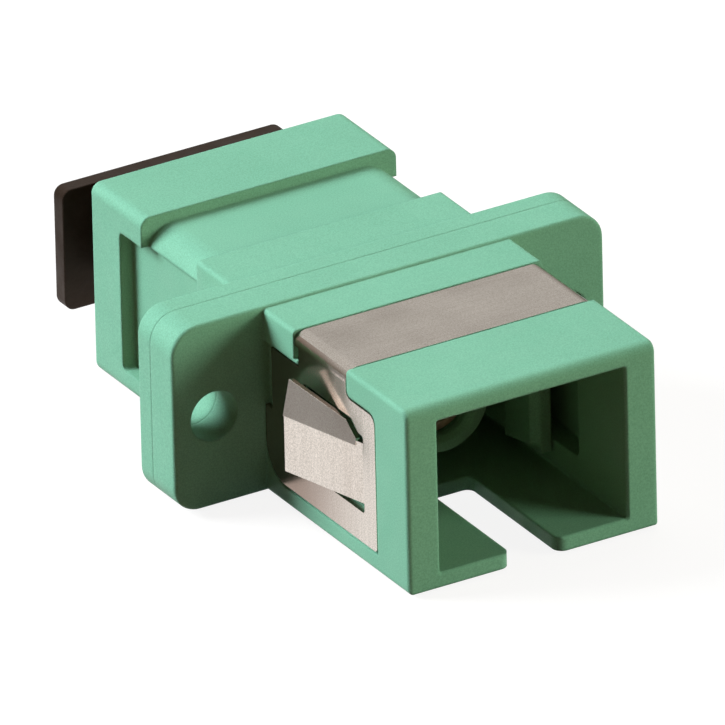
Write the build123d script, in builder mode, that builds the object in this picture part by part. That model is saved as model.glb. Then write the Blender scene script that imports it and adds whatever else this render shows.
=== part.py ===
from build123d import *
import os

os.makedirs("parts", exist_ok=True)

# A fibre optic coupler for a panel. The fibre axis runs along Y through the origin, which lies in
# the seam of the flange, halfway along the ceramic sleeve. -Y is the open port, +Y the capped port
# and +Z is up, away from the key slots. Millimetres.

# Port for the square plug, the same in both housings
port_width = 9.6
port_height = 7.45
port_corner_radius = 0.1
entry_chamfer = 0.1
key_width = 2.4
key_length = 7.5
key_end_radius = 0.4
key_lip_radius = 0.5

# Front housing: its walls around the port, and what is measured back from the port face
side_wall = 1.6
floor_thickness = 0.675
roof_thickness = 0.825
front_length = 12.25
top_front_radius = 0.5
rim_radius = 0.2

# Flange, split at the seam into a front and a rear layer
flange_rise = 0.1
front_layer = 1.85
rear_layer = 1.15
ear_corner_radius = 1.3
ear_edge_radius = 0.15
ear_hole_diameter = 2.4
ear_hole_spacing = 18.0
ear_end_margin = 2.1

# Rear housing: block at the flange, waist with a pocket in each side, collar at the port
rear_length = 12.9
rear_side_step = 0.05
block_end = 4.0
block_drop = 0.1
waist_drop = 0.35
waist_corner_radius = 1.5
pocket_wall = 1.13
pocket_bottom = 0.9
pocket_top_drop = 1.25
pocket_end_wall = 2.5
pocket_radius = 0.3
collar_length = 4.45
collar_side_step = 0.18
collar_rise = 0.17
collar_foot = 0.19
collar_corner_radius = 0.5
collar_rim_radius = 0.2
foot_top = 0.6

# Folded steel clip, flush in its grooves
sheet = 0.3
bend_radius = 0.65
clip_edge_gap = 0.1
strip_setback = 5.17
strip_length = 4.38
neck_length = 4.05
leg_setback = 2.75
leg_rear_gap = 0.05
leg_bottom_above_base = 0.95
leg_shoulder_drop = 1.35
leg_rear_drop = 0.25
shoulder_radius = 0.4
leg_front_radius = 0.45
leg_heel_radius = 1.6
leg_rear_height = 3.35
leg_rear_inset = 0.6

# Sprung tongue, cut out of each leg
window_front_rail = 1.0
window_bottom_rail = 1.5
window_height = 3.8
window_rise = 0.5
window_root_radius = 0.17
window_shoulder_start = 0.3
window_shoulder_end = 0.9
window_rear_gap = 0.3
window_corner_radius = 0.4
tongue_root_rail = 1.1
tongue_lower_slot = 0.49
tongue_height = 2.96
tongue_length = 4.83
tongue_angle = 15.5
lip_height = 1.4
lip_shoulder_height = 0.66
lip_shoulder_length = 1.2
lip_start = 0.45
lip_angle = 15.0

# Inside each side wall: a pocket that the latch hooks spring into, open above a thin web
wall_pocket_front_gap = 1.35
wall_pocket_rear_wall = 0.4
wall_pocket_bottom = 1.96
wall_pocket_top_ledge = 0.1
wall_pocket_radius = 0.3
wall_web = 0.3

# Latch inserts, one in each housing, back to back at the seam
insert_ledge = 0.5
insert_thickness = 1.2
insert_corner_radius = 0.4
insert_clearance = 0.1
insert_end_gap = 0.05
holder_wall = 0.55
holder_lip_thickness = 0.6
holder_lip_chamfer = 0.25
hook_side_gap = 0.15
hook_arm_thickness = 0.55
hook_head_thickness = 0.9
hook_head_length = 2.5
hook_length = 7.9
hook_headroom = 0.775
hook_taper = 0.5
hook_lead_in = 0.4

# Split ceramic sleeve, free to float in its holder
sleeve_bore = 2.5
sleeve_diameter = 3.2
sleeve_length = 11.4
sleeve_slot = 0.45
sleeve_clearance = 0.05
sleeve_end_gap = 0.3
ferrule_lead_clearance = 0.25

# Dust cap of the rear port
cap_clearance = 0.12
cap_hook_gap = 0.5
cap_wall = 0.9
cap_neck_width = 7.6
cap_neck_height = 4.4
cap_neck_length = 3.75
cap_handle_width = 11.75
cap_handle_height = 5.95
cap_handle_thickness = 0.9
cap_handle_drop = 0.5
cap_corner_radius = 0.5
cap_edge_radius = 0.2

# Derived sizes and positions
body_width = port_width + 2 * side_wall
body_height = port_height + floor_thickness + roof_thickness
flange_width = ear_hole_spacing + 2 * ear_end_margin
flange_height = body_height + flange_rise
base_z = -(port_height / 2 + floor_thickness)
body_mid_z = base_z + body_height / 2
body_top_z = base_z + body_height
flange_mid_z = base_z + flange_height / 2
flange_face_y = -front_layer
port_face_y = flange_face_y - front_length
rear_face_y = rear_length
side_x = body_width / 2
floor_x = side_x - sheet
ear_x = ear_hole_spacing / 2

rear_width = body_width - 2 * rear_side_step
pocket_floor_x = port_width / 2 + pocket_wall
pocket_rear_y = rear_face_y - pocket_end_wall
collar_front_y = rear_face_y - collar_length
collar_width = body_width + 2 * collar_side_step
collar_height = body_height + collar_rise + collar_foot
collar_base_z = base_z - collar_foot

leg_front_y = port_face_y + leg_setback
leg_rear_y = flange_face_y - leg_rear_gap
leg_length = leg_rear_y - leg_front_y
leg_bottom_z = base_z + leg_bottom_above_base
leg_top_z = body_top_z - leg_shoulder_drop
leg_height = leg_top_z - leg_bottom_z
leg_rear_top_z = leg_top_z - leg_rear_drop
strip_front_y = port_face_y + strip_setback
neck_rear_y = strip_front_y + neck_length

window_bottom_z = leg_bottom_z + window_bottom_rail
window_top_z = window_bottom_z + window_height
window_front_y = leg_front_y + window_front_rail
window_shoulder_z = window_top_z + window_rise
tongue_bottom_z = window_bottom_z + tongue_lower_slot
tongue_top_z = tongue_bottom_z + tongue_height
tongue_root_y = leg_front_y + tongue_root_rail
window_rear_y = tongue_root_y + tongue_length + window_rear_gap

wall_pocket_front_y = leg_front_y + wall_pocket_front_gap
wall_pocket_length = flange_face_y - wall_pocket_rear_wall - wall_pocket_front_y
wall_pocket_bottom_z = base_z + wall_pocket_bottom
wall_pocket_top_z = leg_rear_top_z - wall_pocket_top_ledge

insert_width = port_width + 2 * insert_ledge
insert_height = port_height - 2 * insert_clearance
recess_depth = insert_thickness + insert_end_gap
hook_outer_x = port_width / 2 - hook_side_gap
hook_height = port_height - 2 * hook_headroom
hook_tip_height = hook_height - 2 * hook_taper
holder_bore_radius = sleeve_diameter / 2 + sleeve_clearance
holder_diameter = 2 * (holder_bore_radius + holder_wall)
holder_length = sleeve_length / 2 + sleeve_end_gap + holder_lip_thickness
ferrule_lead_radius = sleeve_bore / 2 + ferrule_lead_clearance
cap_plug_depth = rear_length - hook_length - cap_hook_gap


def across(y):
    """Plane across the fibre axis at y: its x is +X, its y is +Z, and it faces -Y."""
    return Plane.XZ.offset(-y)


# Shapes that both housings share
with BuildSketch() as port_shape:
    RectangleRounded(port_width, port_height, port_corner_radius)

with BuildSketch() as recess_shape:
    RectangleRounded(
        insert_width + 2 * insert_clearance,
        insert_height + 2 * insert_clearance,
        insert_corner_radius,
    )

with BuildSketch() as ear_shape:
    with Locations((0, flange_mid_z)):
        RectangleRounded(flange_width, flange_height, ear_corner_radius)
    with Locations((-ear_x, 0), (ear_x, 0)):
        Circle(ear_hole_diameter / 2, mode=Mode.SUBTRACT)

with BuildSketch() as key_shape:
    Rectangle(key_width, key_length, align=(Align.CENTER, Align.MIN))
    fillet(vertices().group_by(Axis.Y)[-1], radius=key_end_radius)

# The front housing: body, flange layer and ears are one moulding.
with BuildPart() as front_flange:
    with BuildSketch(across(0)):
        add(ear_shape.sketch)
    extrude(amount=front_layer)
    fillet(faces().sort_by(Axis.Y)[0].outer_wire().edges(), radius=ear_edge_radius)

with BuildPart() as front_housing:
    with BuildSketch(across(0)):
        with Locations((0, body_mid_z)):
            Rectangle(body_width, body_height)
    extrude(amount=-port_face_y)
    front_rims = edges().filter_by(Axis.X).group_by(Axis.Y)[0]
    fillet(front_rims.sort_by(Axis.Z)[-1], radius=top_front_radius)
    side_rims = faces().filter_by(Axis.X).edges().filter_by(lambda e: e.center().Y < flange_face_y)
    fillet(side_rims, radius=rim_radius)

    add(front_flange.part)

    # Port, entry chamfer, recess for the latch insert and key slot
    with BuildSketch(across(0)):
        add(port_shape.sketch)
    extrude(amount=-port_face_y, mode=Mode.SUBTRACT)
    with BuildSketch(across(0)):
        add(recess_shape.sketch)
    extrude(amount=recess_depth, mode=Mode.SUBTRACT)
    mouth = faces().sort_by(Axis.Y)[0].inner_wires()[0].edges()
    chamfer(mouth, length=entry_chamfer)
    with BuildSketch(Plane((0, port_face_y, 0))):
        add(key_shape.sketch)
    extrude(amount=2 * base_z, mode=Mode.SUBTRACT)
    lips = edges().filter_by(Axis.Z).group_by(Axis.Y)[0].filter_by(lambda e: abs(e.center().X) < key_width)
    fillet(lips, radius=key_lip_radius)

    # Side walls: a pocket inside, open above the web, and a shallow recess outside for the clip's leg
    with BuildSketch(Plane.YZ):
        with Locations((wall_pocket_front_y, wall_pocket_bottom_z)):
            Rectangle(
                wall_pocket_length,
                wall_pocket_top_z - wall_pocket_bottom_z,
                align=(Align.MIN, Align.MIN),
            )
        fillet(vertices(), radius=wall_pocket_radius)
    extrude(amount=floor_x - wall_web, both=True, mode=Mode.SUBTRACT)
    with BuildSketch(Plane.YZ):
        with Locations((wall_pocket_front_y, tongue_top_z)):
            Rectangle(wall_pocket_length, wall_pocket_top_z - tongue_top_z, align=(Align.MIN, Align.MIN))
        fillet(vertices().group_by(Axis.Y)[-1], radius=wall_pocket_radius)
    extrude(amount=body_width, both=True, mode=Mode.SUBTRACT)
    for side in (1, -1):
        with BuildSketch(Plane.YZ.offset(side * floor_x)):
            with Locations((leg_front_y - clip_edge_gap, leg_bottom_z - clip_edge_gap)):
                Rectangle(
                    flange_face_y - leg_front_y + clip_edge_gap,
                    leg_height + 2 * clip_edge_gap,
                    align=(Align.MIN, Align.MIN),
                )
            heel = vertices().group_by(Axis.X)[-1].sort_by(Axis.Y)[0]
            fillet(heel, radius=leg_heel_radius + clip_edge_gap)
            nose = vertices().group_by(Axis.X)[0].sort_by(Axis.Y)[-1]
            fillet(nose, radius=leg_front_radius + clip_edge_gap)
            with Locations((neck_rear_y + clip_edge_gap, leg_rear_top_z + clip_edge_gap)):
                Rectangle(leg_length, leg_height, align=(Align.MIN, Align.MIN), mode=Mode.SUBTRACT)
        extrude(amount=side * 2 * sheet, mode=Mode.SUBTRACT)

    # Groove over the top and down to the recesses, for the strip and the necks
    with BuildSketch(across(strip_front_y - clip_edge_gap)):
        with Locations((0, leg_top_z)):
            Rectangle(2 * body_width, body_height, align=(Align.CENTER, Align.MIN))
        with Locations((0, body_top_z - sheet)):
            RectangleRounded(
                2 * floor_x,
                body_height,
                bend_radius - sheet,
                align=(Align.CENTER, Align.MAX),
                mode=Mode.SUBTRACT,
            )
    extrude(amount=-(strip_length + 2 * clip_edge_gap), mode=Mode.SUBTRACT)
    shoulder = Vector(0, strip_front_y - clip_edge_gap, leg_top_z + clip_edge_gap)
    corners = edges().filter_by(Axis.X).filter_by(
        lambda e: (e.center() - shoulder).Y ** 2 + (e.center() - shoulder).Z ** 2 < clip_edge_gap**2
    )
    fillet(corners, radius=shoulder_radius - clip_edge_gap)
front_housing.part.label = "front_housing"
export_step(front_housing.part, "parts/front_housing.step")


# The rear housing: flange layer, block, waist, collar and foot plate are one moulding.
with BuildPart() as rear_housing:
    with BuildSketch(across(0)):
        add(ear_shape.sketch)
    extrude(amount=-rear_layer)
    fillet(faces().sort_by(Axis.Y)[-1].outer_wire().edges(), radius=ear_edge_radius)

    with BuildSketch(across(0)):
        with Locations((0, base_z)):
            Rectangle(rear_width, body_height - block_drop, align=(Align.CENTER, Align.MIN))
        fillet(vertices().group_by(Axis.Y)[-1], radius=rim_radius)
    extrude(amount=-block_end)
    with BuildSketch(across(0)):
        with Locations((0, base_z)):
            Rectangle(rear_width, body_height - waist_drop, align=(Align.CENTER, Align.MIN))
        fillet(vertices().group_by(Axis.Y)[-1], radius=waist_corner_radius)
    extrude(amount=-collar_front_y)
    with BuildSketch(across(rear_layer)):
        with Locations((0, collar_base_z)):
            Rectangle(collar_width, collar_foot + foot_top, align=(Align.CENTER, Align.MIN))
    extrude(amount=-(collar_front_y - rear_layer))
    with BuildSketch(across(collar_front_y)):
        with Locations((0, collar_base_z + collar_height / 2)):
            RectangleRounded(collar_width, collar_height, collar_corner_radius)
    extrude(amount=-collar_length)
    fillet(faces().sort_by(Axis.Y)[-1].edges(), radius=collar_rim_radius)

    # A pocket in each side, from the block back into the collar
    with BuildSketch(Plane.YZ.offset(pocket_floor_x)) as side_pocket:
        with Locations((block_end, base_z + pocket_bottom)):
            Rectangle(
                pocket_rear_y - block_end,
                body_height - pocket_top_drop - pocket_bottom,
                align=(Align.MIN, Align.MIN),
            )
        fillet(vertices().group_by(Axis.X)[-1], radius=pocket_radius)
    extrude(amount=side_wall, mode=Mode.SUBTRACT)
    mirrored_pocket = mirror(side_pocket.sketch, about=Plane.YZ, mode=Mode.PRIVATE)
    extrude(mirrored_pocket, amount=side_wall, dir=(-1, 0, 0), mode=Mode.SUBTRACT)

    with BuildSketch(across(0)):
        add(port_shape.sketch)
    extrude(amount=-rear_face_y, mode=Mode.SUBTRACT)
    with BuildSketch(across(0)):
        add(recess_shape.sketch)
    extrude(amount=-recess_depth, mode=Mode.SUBTRACT)
    mouth = faces().sort_by(Axis.Y)[-1].inner_wires()[0].edges()
    chamfer(mouth, length=entry_chamfer)
    with BuildSketch(Plane((0, rear_face_y, 0), x_dir=(-1, 0, 0))):
        add(key_shape.sketch)
    extrude(amount=2 * collar_base_z, mode=Mode.SUBTRACT)
    lips = edges().filter_by(Axis.Z).group_by(Axis.Y)[-1].filter_by(lambda e: abs(e.center().X) < key_width)
    fillet(lips, radius=key_lip_radius)
rear_housing.part.label = "rear_housing"
export_step(rear_housing.part, "parts/rear_housing.step")


# The clip: one bent band over the top, a leg plate on each side and a tongue in each leg.
with BuildPart() as leg:
    with BuildSketch(Plane.YZ.offset(floor_x)):
        with Locations((leg_front_y, leg_bottom_z)):
            Rectangle(leg_length, leg_height, align=(Align.MIN, Align.MIN))
        fillet(vertices().group_by(Axis.X)[0].sort_by(Axis.Y)[-1], radius=leg_front_radius)
        fillet(vertices().group_by(Axis.X)[0].sort_by(Axis.Y)[0], radius=rim_radius)
        fillet(vertices().group_by(Axis.X)[-1].sort_by(Axis.Y)[0], radius=leg_heel_radius)
        # The upper half of the plate stops short of the flange.
        with Locations((leg_rear_y, leg_bottom_z + leg_rear_height)):
            Rectangle(leg_rear_inset, leg_height, align=(Align.MAX, Align.MIN), mode=Mode.SUBTRACT)
        with Locations((neck_rear_y, leg_rear_top_z)):
            Rectangle(leg_length, leg_height, align=(Align.MIN, Align.MIN), mode=Mode.SUBTRACT)
        with Locations((neck_rear_y, leg_top_z)):
            Rectangle(neck_length, sheet, align=(Align.MAX, Align.MIN))
    extrude(amount=sheet)
    # The window around the tongue, with room above it for the lip
    with BuildSketch(Plane.YZ.offset(floor_x)):
        with BuildLine():
            Polyline(
                (window_front_y, window_bottom_z),
                (window_rear_y, window_bottom_z),
                (window_rear_y, window_shoulder_z),
                (tongue_root_y + window_shoulder_end, window_shoulder_z),
                (tongue_root_y + window_shoulder_start, window_top_z),
                (window_front_y, window_top_z),
                close=True,
            )
        make_face()
        fillet(vertices().group_by(Axis.X)[-1], radius=window_corner_radius)
        fillet(vertices().group_by(Axis.X)[0], radius=window_root_radius)
    extrude(amount=sheet, mode=Mode.SUBTRACT)

    # Tongue, bent outwards from its root
    tongue_way = Vector(0, 1, 0).rotate(Axis.Z, -tongue_angle)
    tongue_out = Vector(1, 0, 0).rotate(Axis.Z, -tongue_angle)
    tongue_crease = Vector(floor_x, tongue_root_y, tongue_top_z)
    with BuildSketch(Plane.XY.offset(tongue_bottom_z)):
        with BuildLine():
            Polyline(
                (floor_x, window_front_y - window_root_radius),
                (floor_x, tongue_root_y),
                tongue_crease.X * Vector(1, 0) + tongue_root_y * Vector(0, 1) + tongue_length * tongue_way,
            )
            offset(amount=sheet, side=Side.RIGHT)
        make_face()
    extrude(amount=tongue_height)

    # Lip along the tongue's upper edge, folded back a little and widening to the free end
    lip_out = tongue_out.rotate(Axis((0, 0, 0), tongue_way), -lip_angle)
    with BuildSketch(Plane(origin=tongue_crease, x_dir=tongue_way, z_dir=lip_out)):
        with BuildLine():
            Polyline(
                (lip_start, -sheet),
                (tongue_length, -sheet),
                (tongue_length, lip_height),
                (lip_shoulder_length, lip_shoulder_height),
                (lip_start, 0),
                close=True,
            )
        make_face()
    extrude(amount=sheet)

with BuildPart() as mounting_clip:
    with BuildSketch(across(strip_front_y)):
        with Locations((0, body_top_z)):
            RectangleRounded(body_width, body_height, bend_radius, align=(Align.CENTER, Align.MAX))
        with Locations((0, body_top_z - sheet)):
            RectangleRounded(
                2 * floor_x,
                body_height,
                bend_radius - sheet,
                align=(Align.CENTER, Align.MAX),
                mode=Mode.SUBTRACT,
            )
        with Locations((0, leg_top_z)):
            Rectangle(2 * body_width, body_height, align=(Align.CENTER, Align.MAX), mode=Mode.SUBTRACT)
    extrude(amount=-strip_length)
    with BuildSketch(Plane.YZ):
        with Locations((neck_rear_y, body_top_z - bend_radius)):
            Rectangle(strip_length, body_height, align=(Align.MIN, Align.MAX))
    extrude(amount=body_width, both=True, mode=Mode.SUBTRACT)
    add(leg.part)
    mirror(leg.part, about=Plane.YZ)
    inner_corners = edges().filter_by(Axis.X).filter_by(
        lambda e: abs(e.center().Y - strip_front_y) < clip_edge_gap and abs(e.center().Z - leg_top_z) < clip_edge_gap
    )
    fillet(inner_corners, radius=shoulder_radius)
mounting_clip.part.label = "mounting_clip"
export_step(mounting_clip.part, "parts/mounting_clip.step")


# Latch hooks: straight arms, each with a head that hooks inwards and is lower at its tip
with BuildPart() as hooks:
    with BuildSketch(Plane.XY):
        with BuildLine():
            Polyline(
                (hook_outer_x - hook_arm_thickness, -hook_length),
                (hook_outer_x - hook_head_thickness, -hook_length + hook_lead_in),
                (hook_outer_x - hook_head_thickness, -hook_length + hook_head_length),
                (hook_outer_x - hook_arm_thickness, -hook_length + hook_head_length),
                close=True,
            )
        make_face()
    extrude(amount=hook_height / 2, both=True)
    with BuildSketch(Plane.YZ):
        with BuildLine():
            Polyline(
                (-hook_length + hook_head_length, hook_height / 2),
                (-hook_length, hook_tip_height / 2),
                (-hook_length, -hook_tip_height / 2),
                (-hook_length + hook_head_length, -hook_height / 2),
                close=True,
            )
        make_face()
    extrude(amount=body_width, mode=Mode.INTERSECT)
    with BuildSketch(Plane.XZ):
        with Locations((hook_outer_x, 0)):
            Rectangle(hook_arm_thickness, hook_height, align=(Align.MAX, Align.CENTER))
    extrude(amount=hook_length)
    mirror(about=Plane.YZ)

with BuildPart() as front_latch:
    with BuildSketch(Plane.XZ):
        RectangleRounded(insert_width, insert_height, insert_corner_radius)
    extrude(amount=insert_thickness)
    with BuildSketch(Plane.XZ):
        Circle(holder_diameter / 2)
    extrude(amount=holder_length)
    add(hooks.part)
    with BuildSketch(Plane.XZ):
        Circle(holder_bore_radius)
    extrude(amount=holder_length - holder_lip_thickness, mode=Mode.SUBTRACT)
    with BuildSketch(Plane.XZ):
        Circle(ferrule_lead_radius)
    extrude(amount=holder_length, mode=Mode.SUBTRACT)
    lead = faces().filter_by(Plane.XZ).filter_by(lambda f: abs(f.center().Y + holder_length) < 0.01)
    chamfer(lead.edges().sort_by(SortBy.RADIUS)[0], length=holder_lip_chamfer)
front_latch.part.label = "front_latch"
export_step(front_latch.part, "parts/front_latch.step")

with BuildPart() as rear_latch:
    add(front_latch.part.rotate(Axis.Z, 180))
rear_latch.part.label = "rear_latch"
export_step(rear_latch.part, "parts/rear_latch.step")


# The sleeve, slit along its whole length so that it grips the two ferrules
with BuildPart() as alignment_sleeve:
    with BuildSketch(across(sleeve_length / 2)):
        Circle(sleeve_diameter / 2)
        Circle(sleeve_bore / 2, mode=Mode.SUBTRACT)
        Rectangle(sleeve_slot, sleeve_diameter, align=(Align.CENTER, Align.MIN), mode=Mode.SUBTRACT)
    extrude(amount=sleeve_length)
alignment_sleeve.part.label = "alignment_sleeve"
export_step(alignment_sleeve.part, "parts/alignment_sleeve.step")


# The dust cap: a hollow plug in the rear port, a neck and the plate that it is pulled by
with BuildPart() as dust_cap:
    plug_width = port_width - 2 * cap_clearance
    plug_height = port_height - 2 * cap_clearance
    with BuildSketch(across(rear_face_y)):
        RectangleRounded(plug_width, plug_height, cap_corner_radius)
    extrude(amount=cap_plug_depth)
    with BuildSketch(across(rear_face_y)):
        Rectangle(cap_neck_width, cap_neck_height)
    extrude(amount=-cap_neck_length)
    with BuildSketch(across(rear_face_y + cap_neck_length)):
        with Locations((0, -cap_handle_drop)):
            RectangleRounded(cap_handle_width, cap_handle_height, cap_corner_radius)
    extrude(amount=-cap_handle_thickness)
    fillet(faces().sort_by(Axis.Y)[-1].edges(), radius=cap_edge_radius)
    with BuildSketch(across(rear_face_y - cap_plug_depth)):
        Rectangle(plug_width - 2 * cap_wall, plug_height - 2 * cap_wall)
    extrude(amount=-(cap_plug_depth - cap_wall), mode=Mode.SUBTRACT)
dust_cap.part.label = "dust_cap"
export_step(dust_cap.part, "parts/dust_cap.step")
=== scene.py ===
import math
import bpy
from mathutils import Matrix, Vector

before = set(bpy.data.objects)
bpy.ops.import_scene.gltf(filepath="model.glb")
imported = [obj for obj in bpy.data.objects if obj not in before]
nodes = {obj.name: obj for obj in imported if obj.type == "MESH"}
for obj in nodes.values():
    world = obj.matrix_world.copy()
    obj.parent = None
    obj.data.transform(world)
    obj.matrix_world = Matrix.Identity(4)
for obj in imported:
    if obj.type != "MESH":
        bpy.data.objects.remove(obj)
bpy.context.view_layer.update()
print("frame loaded:", ", ".join(sorted(nodes)))


def newMaterial(name):
    # an empty node material with its output and one Principled shader
    material = bpy.data.materials.new(name)
    material.use_nodes = True
    tree = material.node_tree
    tree.nodes.clear()
    output = tree.nodes.new("ShaderNodeOutputMaterial")
    output.location = (700, 0)
    shader = tree.nodes.new("ShaderNodeBsdfPrincipled")
    shader.location = (400, 0)
    tree.links.new(shader.outputs["BSDF"], output.inputs["Surface"])
    return material, tree, shader


def newNode(tree, kind, place, **values):
    # a value named like a property sets it, any other fills the socket of that name
    node = tree.nodes.new(kind)
    node.location = place
    for key, value in values.items():
        if hasattr(node, key):
            setattr(node, key, value)
        else:
            node.inputs[key.replace("_", " ")].default_value = value
    return node


def newMath(tree, operation, place, *numbers):
    # a math node, with the numbers in its sockets from the second one on
    node = newNode(tree, "ShaderNodeMath", place, operation=operation)
    for socket, number in enumerate(numbers, start=1):
        node.inputs[socket].default_value = number
    return node


def newMix(tree, place, low=None, high=None):
    # a mix of two colours, of which either may be given here
    node = newNode(tree, "ShaderNodeMix", place, data_type="RGBA")
    for number, color in ((6, low), (7, high)):
        if color:
            node.inputs[number].default_value = color
    return node


def newRange(tree, place, fromEnds, toEnds=(0.0, 1.0), kind="LINEAR"):
    # a value carried from one range to another
    node = newNode(tree, "ShaderNodeMapRange", place, interpolation_type=kind)
    ends = zip(("From Min", "From Max", "To Min", "To Max"), (*fromEnds, *toEnds))
    for label, value in ends:
        node.inputs[label].default_value = value
    return node


def join(tree, *links):
    # each link says which output of one node feeds which input of another
    for source, output, target, place in links:
        tree.links.new(source.outputs[output], target.inputs[place])


# The moulded skin has a cloudy shade, a fine spark-eroded grain and softened edges.
skinSockets = [
    ("base", "Base", "NodeSocketColor"),
    ("deep", "Deep", "NodeSocketColor"),
    ("cloudScale", "Cloud Scale", "NodeSocketFloat"),
    ("grainScale", "Grain Scale", "NodeSocketFloat"),
    ("grainHeight", "Grain Height", "NodeSocketFloat"),
    ("speckle", "Speckle", "NodeSocketFloat"),
    ("lowRoughness", "Low Roughness", "NodeSocketFloat"),
    ("highRoughness", "High Roughness", "NodeSocketFloat"),
    ("edgeRadius", "Edge Radius", "NodeSocketFloat"),
]
skinResults = [
    ("Color", "NodeSocketColor"),
    ("Roughness", "NodeSocketFloat"),
    ("Normal", "NodeSocketVector"),
]
skinFacts = {
    "cloudEnds": (0.3, 0.7),
    "cloudShare": 0.3,
    "grainEnds": (0.35, 0.65),
    "streakScale": 900.0,
    "streakEnds": (0.3, 0.7),
}
skin = bpy.data.node_groups.new("mouldedSkin", "ShaderNodeTree")
for key, label, kind in skinSockets:
    skin.interface.new_socket(name=label, in_out="INPUT", socket_type=kind)
for label, kind in skinResults:
    skin.interface.new_socket(name=label, in_out="OUTPUT", socket_type=kind)
start = newNode(skin, "NodeGroupInput", (-1100, 0))
end = newNode(skin, "NodeGroupOutput", (700, 0))
coordinates = newNode(skin, "ShaderNodeTexCoord", (-1100, 400))
cloud = newNode(skin, "ShaderNodeTexNoise", (-700, 400), Detail=3.0, Roughness=0.55)
grain = newNode(skin, "ShaderNodeTexNoise", (-700, 100), Detail=2.0, Roughness=0.6)
streak = newNode(
    skin, "ShaderNodeTexNoise", (-700, -200), Scale=skinFacts["streakScale"], Detail=4.0
)
cloudRamp = newRange(skin, (-450, 400), skinFacts["cloudEnds"], (0.0, skinFacts["cloudShare"]))
speckle = newRange(skin, (-450, 150), skinFacts["grainEnds"])
blotch = newNode(skin, "ShaderNodeMath", (-300, 300), operation="ADD", use_clamp=True)
shade = newMix(skin, (-150, 400))
gloss = newRange(skin, (-150, 0), skinFacts["streakEnds"])
soften = newNode(skin, "ShaderNodeBevel", (-150, -300), samples=4)
bump = newNode(skin, "ShaderNodeBump", (150, -200), Strength=1.0)
join(
    skin,
    (coordinates, "Object", cloud, "Vector"),
    (coordinates, "Object", grain, "Vector"),
    (coordinates, "Object", streak, "Vector"),
    (start, "Cloud Scale", cloud, "Scale"),
    (start, "Grain Scale", grain, "Scale"),
    (cloud, "Fac", cloudRamp, "Value"),
    (grain, "Fac", speckle, "Value"),
    (start, "Speckle", speckle, "To Max"),
    (cloudRamp, "Result", blotch, 0),
    (speckle, "Result", blotch, 1),
    (blotch, 0, shade, "Factor"),
    (start, "Base", shade, 6),
    (start, "Deep", shade, 7),
    (streak, "Fac", gloss, "Value"),
    (start, "Low Roughness", gloss, "To Min"),
    (start, "High Roughness", gloss, "To Max"),
    (start, "Edge Radius", soften, "Radius"),
    (soften, "Normal", bump, "Normal"),
    (grain, "Fac", bump, "Height"),
    (start, "Grain Height", bump, "Distance"),
    (shade, 2, end, "Color"),
    (gloss, "Result", end, "Roughness"),
    (bump, "Normal", end, "Normal"),
)


def mouldedMaterial(name, facts):
    # a material whose colour, roughness and normal come from the moulded skin
    material, tree, shader = newMaterial(name)
    skinned = newNode(tree, "ShaderNodeGroup", (0, 0))
    skinned.node_tree = skin
    for key, label, kind in skinSockets:
        skinned.inputs[label].default_value = facts[key]
    join(
        tree,
        (skinned, "Color", shader, "Base Color"),
        (skinned, "Roughness", shader, "Roughness"),
        (skinned, "Normal", shader, "Normal"),
    )
    shader.inputs["Specular IOR Level"].default_value = facts["specular"]
    return material, tree, shader, skinned


# Green of the housings and latches. Light that it throws onto itself is warmer than its colour.
greenMoulding = {
    "base": (0.214, 0.506, 0.368, 1.0),
    "deep": (0.142, 0.366, 0.256, 1.0),
    "cloudScale": 150.0,
    "grainScale": 15000.0,
    "grainHeight": 0.000006,
    "speckle": 0.7,
    "lowRoughness": 0.42,
    "highRoughness": 0.58,
    "edgeRadius": 0.00018,
    "specular": 0.18,
    "bounced": (0.40, 0.36, 0.22, 1.0),
    "bouncedShare": 0.7,
}
greenPlastic, tree, shader, skinned = mouldedMaterial("greenPlastic", greenMoulding)
path = newNode(tree, "ShaderNodeLightPath", (-300, 500))
share = newMath(tree, "MULTIPLY", (-100, 400), greenMoulding["bouncedShare"])
seenGreen = newMix(tree, (150, 300), high=greenMoulding["bounced"])
join(
    tree,
    (path, "Is Diffuse Ray", share, 0),
    (share, 0, seenGreen, "Factor"),
    (skinned, "Color", seenGreen, 6),
    (seenGreen, 2, shader, "Base Color"),
)

# Dust cap: a softer plastic with a rubbed skin
capMoulding = {
    "base": (0.014, 0.008, 0.005, 1.0),
    "deep": (0.008, 0.005, 0.003, 1.0),
    "cloudScale": 260.0,
    "grainScale": 3800.0,
    "grainHeight": 0.000012,
    "speckle": 0.5,
    "lowRoughness": 0.38,
    "highRoughness": 0.60,
    "edgeRadius": 0.00012,
    "specular": 0.40,
    "specularTint": (1.0, 0.70, 0.56, 1.0),
}
capPlastic, tree, shader, skinned = mouldedMaterial("capPlastic", capMoulding)
shader.inputs["Specular Tint"].default_value = capMoulding["specularTint"]

# Sleeve: white ceramic, ground and nearly glossy
groundCeramic = {
    "base": (0.62, 0.58, 0.52, 1.0),
    "deep": (0.54, 0.49, 0.43, 1.0),
    "cloudScale": 400.0,
    "grainScale": 9000.0,
    "grainHeight": 0.000002,
    "speckle": 0.5,
    "lowRoughness": 0.22,
    "highRoughness": 0.34,
    "edgeRadius": 0.00004,
    "specular": 0.5,
}
whiteCeramic = mouldedMaterial("whiteCeramic", groundCeramic)[0]
print("moulded plastics and ceramic made")

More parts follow.
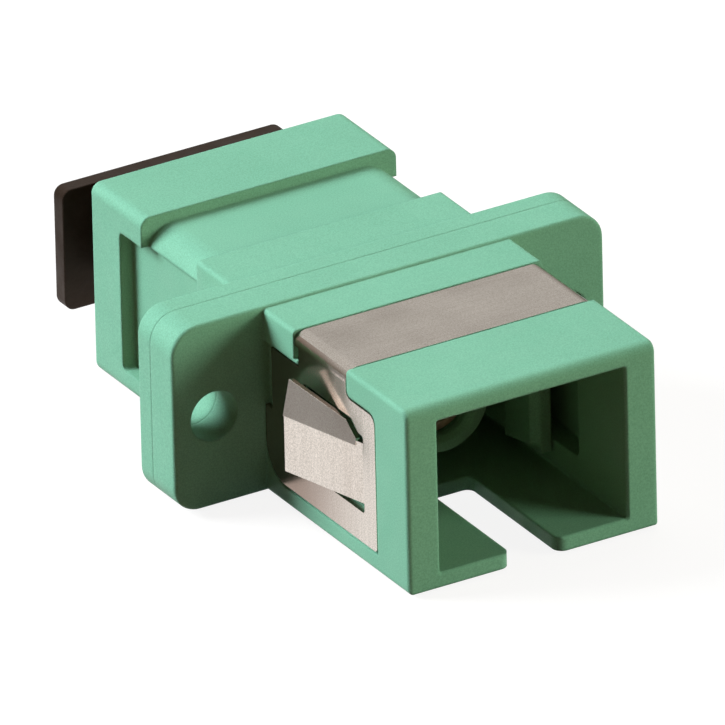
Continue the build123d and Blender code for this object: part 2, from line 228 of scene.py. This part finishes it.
# Rolled spring steel: fine lines over the top and down the legs, a grain, and a slight buckle that
# bends what it mirrors. Painted shade: the legs are darkened to brown near the flange, but not the
# tongues.
rolledSteel = {
    "bright": (0.80, 0.73, 0.67, 1.0),
    "dull": (0.55, 0.49, 0.435, 1.0),
    "lineScale": (220.0, 5200.0, 220.0),
    "lineHeight": 0.0000012,
    "lineShare": 0.6,
    "grainScale": 15000.0,
    "grainEnds": (0.3, 0.7),
    "grainShare": (-0.2, 0.6),
    "waveScale": 230.0,
    "waveHeight": 0.00022,
    "glossEnds": (0.3, 0.7),
    "roughness": (0.15, 0.26),
    "edgeRadius": 0.00003,
    "metallic": 1.0,
    # painted shade: the brown that darkens the legs near the flange
    "paintedShadeColor": (0.36, 0.265, 0.215, 1.0),
    "paintedShadeReach": (-0.0110, -0.0035),
    "paintedShadeFrom": 0.0062,
    "paintedShadeTo": (0.0066, 0.0068),
}
clipSteel, tree, shader = newMaterial("clipSteel")
shader.inputs["Metallic"].default_value = rolledSteel["metallic"]
coordinates = newNode(tree, "ShaderNodeTexCoord", (-1100, 200))
stretch = newNode(tree, "ShaderNodeMapping", (-900, 200), Scale=rolledSteel["lineScale"])
lines = newNode(tree, "ShaderNodeTexNoise", (-700, 200), Scale=1.0, Detail=3.0, Roughness=0.6)
speckle = newNode(
    tree, "ShaderNodeTexNoise", (-700, -100), Scale=rolledSteel["grainScale"], Detail=2.0
)
speckleRamp = newRange(tree, (-600, -300), rolledSteel["grainEnds"], rolledSteel["grainShare"])
tarnish = newMath(tree, "MULTIPLY_ADD", (-450, 100), rolledSteel["lineShare"])
tint = newMix(tree, (-150, 200), rolledSteel["bright"], rolledSteel["dull"])
gloss = newRange(tree, (-150, 0), rolledSteel["glossEnds"], rolledSteel["roughness"])
soften = newNode(
    tree, "ShaderNodeBevel", (-150, -300), samples=4, Radius=rolledSteel["edgeRadius"]
)
wave = newNode(
    tree, "ShaderNodeTexNoise", (-700, -500), Scale=rolledSteel["waveScale"], Detail=1.0
)
buckle = newNode(
    tree, "ShaderNodeBump", (0, -400), Strength=1.0, Distance=rolledSteel["waveHeight"]
)
bump = newNode(
    tree, "ShaderNodeBump", (150, -200), Strength=1.0, Distance=rolledSteel["lineHeight"]
)
# Painted shade on the legs: brown, strongest at the flange and fading forward, kept off the
# tongues.
sides = newNode(tree, "ShaderNodeSeparateXYZ", (-900, -600))
toFlange = newRange(tree, (-700, -600), rolledSteel["paintedShadeReach"], kind="SMOOTHSTEP")
legSide = newMath(tree, "ABSOLUTE", (-800, -900))
overLeg = newMath(tree, "GREATER_THAN", (-650, -800), rolledSteel["paintedShadeFrom"])
underTongue = newRange(tree, (-650, -1000), rolledSteel["paintedShadeTo"], (1.0, 0.0))
onLeg = newMath(tree, "MULTIPLY", (-550, -900))
paintedShadeShare = newMath(tree, "MULTIPLY", (-400, -700))
withPaintedShade = newMix(tree, (100, 200), high=rolledSteel["paintedShadeColor"])
join(
    tree,
    (coordinates, "Object", stretch, "Vector"),
    (stretch, "Vector", lines, "Vector"),
    (coordinates, "Object", speckle, "Vector"),
    (speckle, "Fac", speckleRamp, "Value"),
    (lines, "Fac", tarnish, 0),
    (speckleRamp, "Result", tarnish, 2),
    (tarnish, 0, tint, "Factor"),
    (tarnish, 0, gloss, "Value"),
    (gloss, "Result", shader, "Roughness"),
    (coordinates, "Object", wave, "Vector"),
    (wave, "Fac", buckle, "Height"),
    (soften, "Normal", buckle, "Normal"),
    (buckle, "Normal", bump, "Normal"),
    (lines, "Fac", bump, "Height"),
    (bump, "Normal", shader, "Normal"),
    (coordinates, "Object", sides, 0),
    (sides, "Y", toFlange, "Value"),
    (sides, "X", legSide, 0),
    (legSide, 0, overLeg, 0),
    (legSide, 0, underTongue, "Value"),
    (overLeg, 0, onLeg, 0),
    (underTongue, "Result", onLeg, 1),
    (toFlange, "Result", paintedShadeShare, 0),
    (onLeg, 0, paintedShadeShare, 1),
    (paintedShadeShare, 0, withPaintedShade, "Factor"),
    (tint, 2, withPaintedShade, 6),
    (withPaintedShade, 2, shader, "Base Color"),
)
print("steel made")

finishes = {
    "front_housing": greenPlastic,
    "rear_housing": greenPlastic,
    "front_latch": greenPlastic,
    "rear_latch": greenPlastic,
    "mounting_clip": clipSteel,
    "alignment_sleeve": whiteCeramic,
    "dust_cap": capPlastic,
}
for name, material in finishes.items():
    for place in nodes[name].material_slots:
        place.material = material
print("materials placed on", len(finishes), "nodes")

# Camera, as fitted to the photograph: one pixel of it looks at the aim.
shot = {
    "azimuth": -30.20,
    "elevation": 26.63,
    "roll": -1.35,
    "distance": 1.503,
    "aim": (0.0, -0.0004, 0.0002),
    "imageSize": 725,
    "pixelsPerMillimetre": 22.622,
    "pixel": (372.8, 349.3),
    "sensorWidth": 36.0,
    "clip": (0.05, 20.0),
}
turn, rise, lean = (math.radians(shot[key]) for key in ("azimuth", "elevation", "roll"))
back = Vector(
    (math.sin(turn) * math.cos(rise), -math.cos(turn) * math.cos(rise), math.sin(rise))
)
right = Vector((math.cos(turn), math.sin(turn), 0.0))
up = back.cross(right)
rolledRight = right * math.cos(lean) + up * math.sin(lean)
rolledUp = up * math.cos(lean) - right * math.sin(lean)
frameWidth = shot["imageSize"] / shot["pixelsPerMillimetre"] / 1000
lens = bpy.data.cameras.new("photoCamera")
lens.sensor_width = shot["sensorWidth"]
lens.lens = lens.sensor_width * shot["distance"] / frameWidth
lens.shift_x = (shot["imageSize"] / 2 - shot["pixel"][0]) / shot["imageSize"]
lens.shift_y = (shot["pixel"][1] - shot["imageSize"] / 2) / shot["imageSize"]
lens.clip_start, lens.clip_end = shot["clip"]
camera = bpy.data.objects.new("photoCamera", lens)
place = Matrix((rolledRight, rolledUp, back)).transposed().to_4x4()
place.translation = Vector(shot["aim"]) + back * shot["distance"]
camera.matrix_world = place
bpy.context.scene.collection.objects.link(camera)
bpy.context.scene.camera = camera

# Floor and sky: white to the camera, dimmer in gloss away from the object, low for all other light
studio = {
    "floorZ": -0.00461,
    "floorSize": 3.0,
    "floorRoughness": 0.9,
    "seenGlow": 0.88,
    "seenColor": (0.17, 0.17, 0.17, 1.0),
    "bounceColor": (0.17, 0.10, 0.055, 1.0),
    "whiteReach": (0.020, 0.040),
    "farGlow": 0.10,
    "white": (1.0, 1.0, 1.0, 1.0),
    "worldColor": (0.080, 0.044, 0.028, 1.0),
    "skyLow": (0.17, 0.14, 0.11, 1.0),
    "skyHigh": (0.62, 0.62, 0.60, 1.0),
    "skyEnds": (0.0, 0.5),
}
half = studio["floorSize"] / 2
floorMesh = bpy.data.meshes.new("floor")
corners = [(-half, -half), (half, -half), (half, half), (-half, half)]
floorMesh.from_pydata([(x, y, studio["floorZ"]) for x, y in corners], [], [(0, 1, 2, 3)])
floor = bpy.data.objects.new("floor", floorMesh)
bpy.context.scene.collection.objects.link(floor)
paleFloor, tree, shader = newMaterial("paleFloor")
shader.inputs["Roughness"].default_value = studio["floorRoughness"]
shader.inputs["Specular IOR Level"].default_value = 0.0
shader.inputs["Emission Color"].default_value = studio["white"]
path = newNode(tree, "ShaderNodeLightPath", (-900, 300))
coordinates = newNode(tree, "ShaderNodeTexCoord", (-1100, -200))
reach = newNode(tree, "ShaderNodeVectorMath", (-900, -200), operation="LENGTH")
fade = newRange(
    tree,
    (-700, -200),
    studio["whiteReach"],
    (studio["seenGlow"], studio["farGlow"]),
    "SMOOTHSTEP",
)
inGloss = newMath(tree, "MULTIPLY", (-500, -200))
seenGlow = newMath(tree, "MULTIPLY_ADD", (-300, 0), studio["seenGlow"])
seen = newMath(tree, "MAXIMUM", (-500, 300))
floorColor = newMix(tree, (-200, 300), studio["bounceColor"], studio["seenColor"])
join(
    tree,
    (coordinates, "Object", reach, 0),
    (reach, "Value", fade, "Value"),
    (fade, "Result", inGloss, 0),
    (path, "Is Glossy Ray", inGloss, 1),
    (path, "Is Camera Ray", seenGlow, 0),
    (inGloss, 0, seenGlow, 2),
    (seenGlow, 0, shader, "Emission Strength"),
    (path, "Is Camera Ray", seen, 0),
    (path, "Is Glossy Ray", seen, 1),
    (seen, 0, floorColor, "Factor"),
    (floorColor, 2, shader, "Base Color"),
)
floorMesh.materials.append(paleFloor)

world = bpy.data.worlds.new("paleStudio")
bpy.context.scene.world = world
world.use_nodes = True
sky = world.node_tree
background = sky.nodes["Background"]
background.inputs["Strength"].default_value = 1.0
path = newNode(sky, "ShaderNodeLightPath", (-900, 300))
coordinates = newNode(sky, "ShaderNodeTexCoord", (-1100, -200))
parts = newNode(sky, "ShaderNodeSeparateXYZ", (-900, -200))
height = newRange(sky, (-700, -200), studio["skyEnds"])
skyColor = newMix(sky, (-500, -200), studio["skyLow"], studio["skyHigh"])
inGloss = newMix(sky, (-300, 0), low=studio["worldColor"])
behind = newMix(sky, (-100, 100), high=studio["white"])
join(
    sky,
    (coordinates, "Generated", parts, 0),
    (parts, "Z", height, "Value"),
    (height, "Result", skyColor, "Factor"),
    (skyColor, 2, inGloss, 7),
    (path, "Is Glossy Ray", inGloss, "Factor"),
    (inGloss, 2, behind, 6),
    (path, "Is Camera Ray", behind, "Factor"),
    (behind, 2, background, "Color"),
)

# Lamps: the key from behind on the left, a soft one from above, a warm one from the right front.
# The key's glare is a dimmer lamp at the same place, and the warm lamp has none.
lamps = {
    "keyLight": {
        "at": (-0.36, 0.28, 0.28),
        "size": 0.30,
        "power": 5.0,
        "color": (0.95, 0.99, 1.0),
        "lights": ("diffuse",),
    },
    "shineLight": {
        "at": (-0.36, 0.28, 0.28),
        "size": 0.30,
        "power": 1.0,
        "color": (0.95, 0.99, 1.0),
        "lights": ("glossy",),
    },
    "topLight": {
        "at": (0.05, 0.12, 0.45),
        "size": 0.36,
        "power": 0.68,
        "color": (1.0, 1.0, 1.0),
        "lights": ("diffuse", "glossy"),
    },
    "fillLight": {
        "at": (0.36, -0.34, 0.14),
        "size": 0.22,
        "power": 1.85,
        "color": (1.0, 0.97, 0.74),
        "lights": ("diffuse",),
    },
}
for name, facts in lamps.items():
    lamp = bpy.data.lights.new(name, "AREA")
    lamp.shape = "DISK"
    lamp.size = facts["size"]
    lamp.energy = facts["power"]
    lamp.color = facts["color"]
    lampObject = bpy.data.objects.new(name, lamp)
    lampObject.visible_diffuse = "diffuse" in facts["lights"]
    lampObject.visible_glossy = "glossy" in facts["lights"]
    aim = (Vector(shot["aim"]) - Vector(facts["at"])).to_track_quat("-Z", "Y")
    lampObject.matrix_world = Matrix.Translation(facts["at"]) @ aim.to_matrix().to_4x4()
    bpy.context.scene.collection.objects.link(lampObject)
bpy.context.scene.view_settings.view_transform = "Standard"
print("camera, floor, sky and lamps placed")
